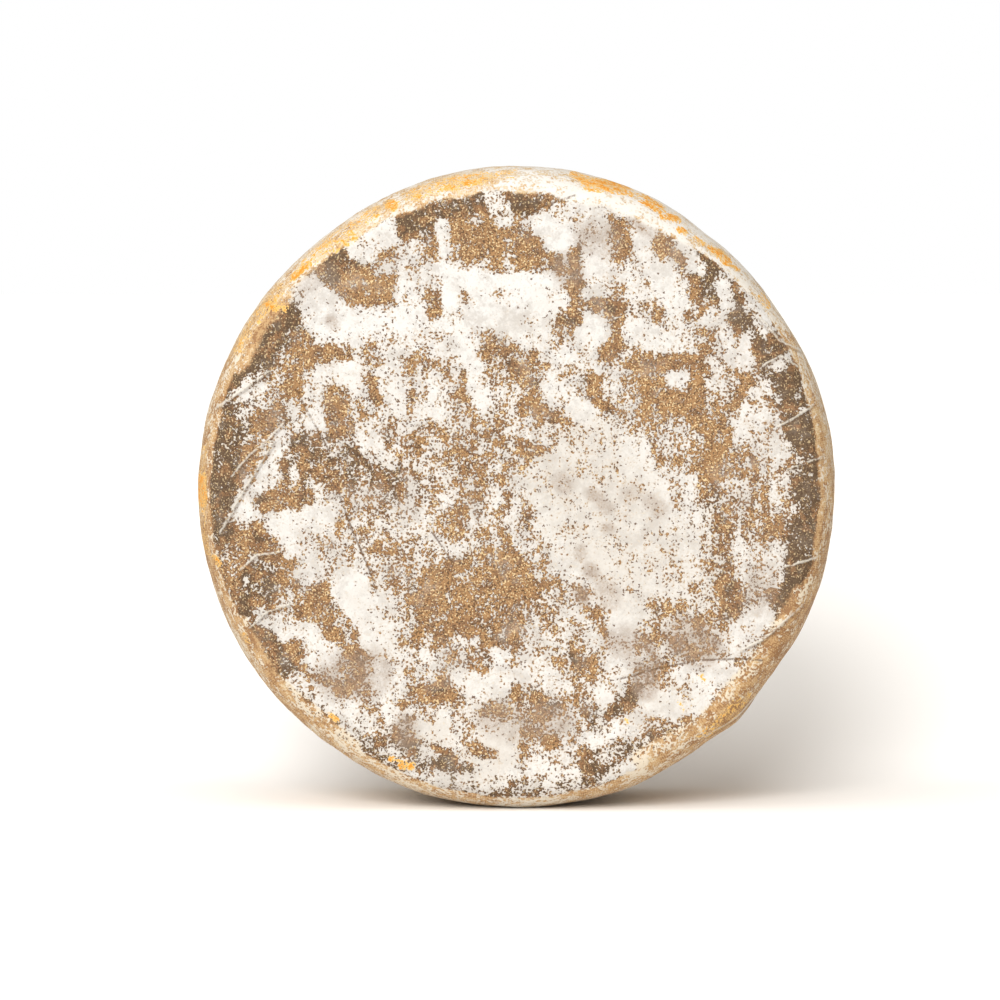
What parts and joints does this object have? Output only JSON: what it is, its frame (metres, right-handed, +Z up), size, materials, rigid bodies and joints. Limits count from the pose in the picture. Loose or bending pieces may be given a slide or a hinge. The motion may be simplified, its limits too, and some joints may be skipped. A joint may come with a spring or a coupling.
{
  "type": "cheese wheel",
  "caption": "Round wheel of ripened farmhouse cheese with flat faces, rounded shoulders and a mottled natural rind, standing on its rim.",
  "frame": {"origin": "on the floor under the middle of the wheel, at the centre of the flat foot of its rim", "axes": "+Z up; the wheel's axis runs along Y; the front face looks towards -Y"},
  "size_m": [0.2204, 0.07, 0.2211],
  "materials": {
    "rind": "dry, dull natural rind: brown crust, white mould bloom, ochre rim"
  },
  "bodies": {
    "root": {"cheese_wheel": "rind"}
  },
  "joints": []
}
